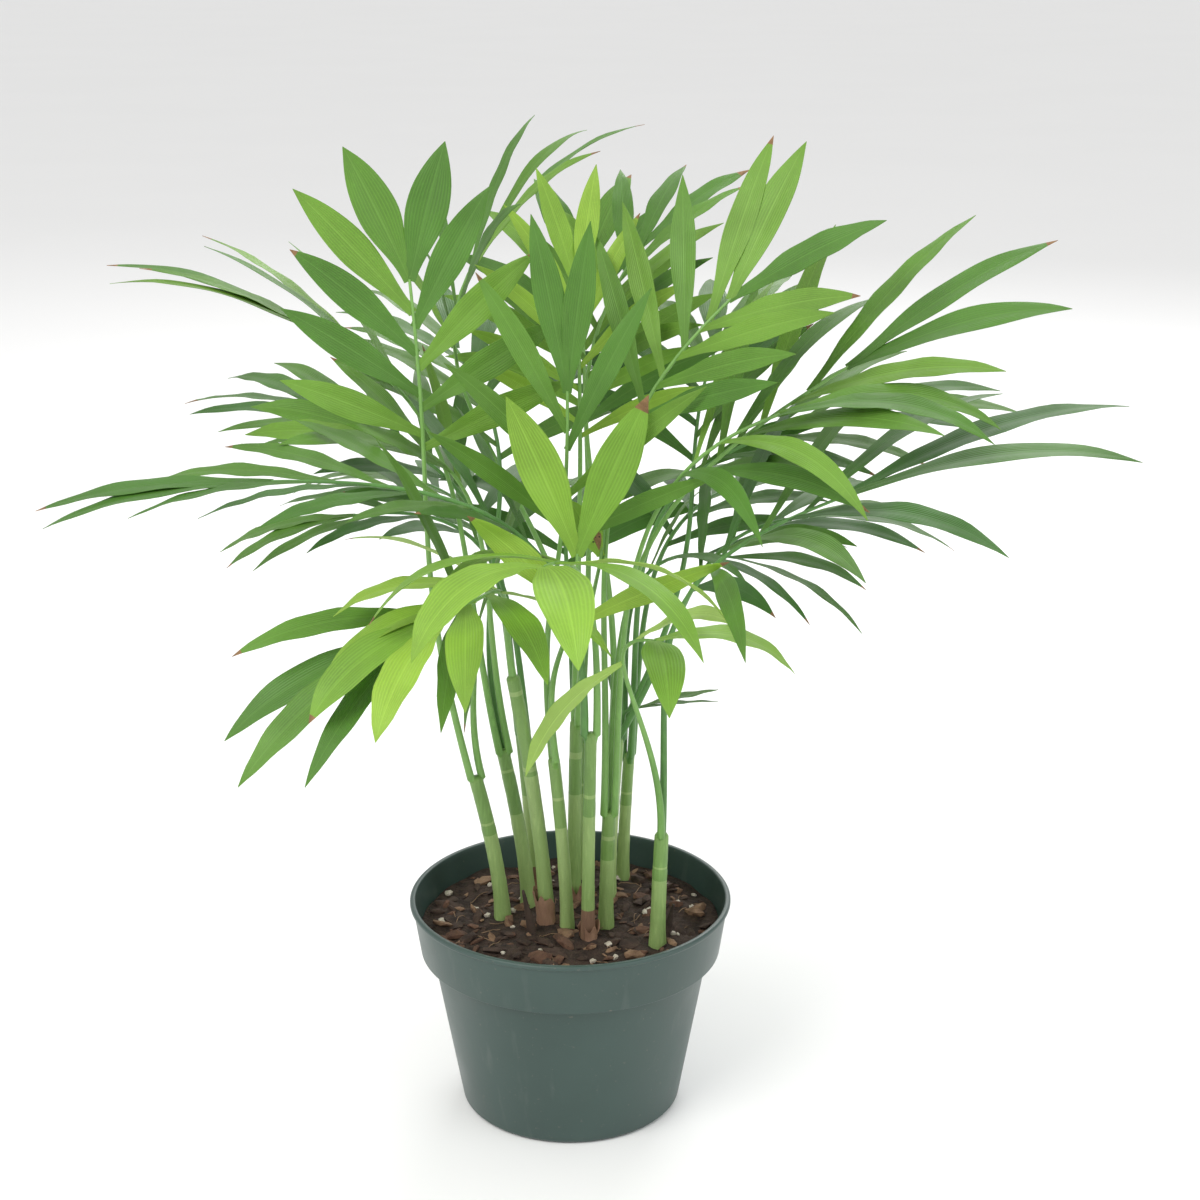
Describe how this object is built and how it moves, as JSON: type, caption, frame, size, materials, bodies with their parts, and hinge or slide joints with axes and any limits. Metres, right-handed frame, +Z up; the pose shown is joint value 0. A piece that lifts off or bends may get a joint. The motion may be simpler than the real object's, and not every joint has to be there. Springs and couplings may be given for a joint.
{
  "type": "potted parlor palm",
  "caption": "Young parlor palm in a plain round nursery pot: slender stems close together, with arching feathery fronds.",
  "frame": {"origin": "centre of the flat underside of the pot, on the surface it stands on", "axes": "+Z up, -Y towards the front of the plant as pictured, +X to the right of that view"},
  "size_m": [0.329, 0.2794, 0.3238],
  "materials": {
    "pot": "satin dark grey-green injection moulded plastic",
    "soil": "damp dark bark and peat compost with a few pale perlite grains",
    "stem": "smooth waxy pale green leaf sheaths, brown and papery at the foot",
    "foliage": "soft satin green leaf blades with fine parallel veins"
  },
  "bodies": {
    "root": {"frond_arch_back": "foliage", "frond_back_high": "foliage", "frond_back_low": "foliage", "frond_back_low_left": "foliage", "frond_back_low_right": "foliage", "frond_back_mid_left": "foliage", "frond_back_mid_right": "foliage", "frond_centre_fan": "foliage", "frond_centre_up": "foliage", "frond_crest_left": "foliage", "frond_far_left_high": "foliage", "frond_front_arch": "foliage", "frond_front_left_low": "foliage", "frond_left_behind": "foliage", "frond_left_long": "foliage", "frond_left_low": "foliage", "frond_left_mid": "foliage", "frond_low_small": "foliage", "frond_right_arching": "foliage", "frond_right_behind": "foliage", "frond_right_hanging": "foliage", "frond_right_high_long": "foliage", "frond_right_low": "foliage", "frond_right_mid": "foliage", "frond_side_left": "foliage", "frond_side_right": "foliage", "frond_spotted": "foliage", "frond_top_centre": "foliage", "frond_top_right": "foliage", "frond_top_right_back": "foliage", "pot": "pot", "soil": "soil", "stem_back": "stem", "stem_back_far": "stem", "stem_back_left": "stem", "stem_back_right": "stem", "stem_front": "stem", "stem_left": "stem", "stem_left_back": "stem", "stem_mid_left": "stem", "stem_mid_right": "stem", "stem_middle": "stem", "stem_right": "stem", "stem_right_back": "stem"}
  },
  "joints": []
}
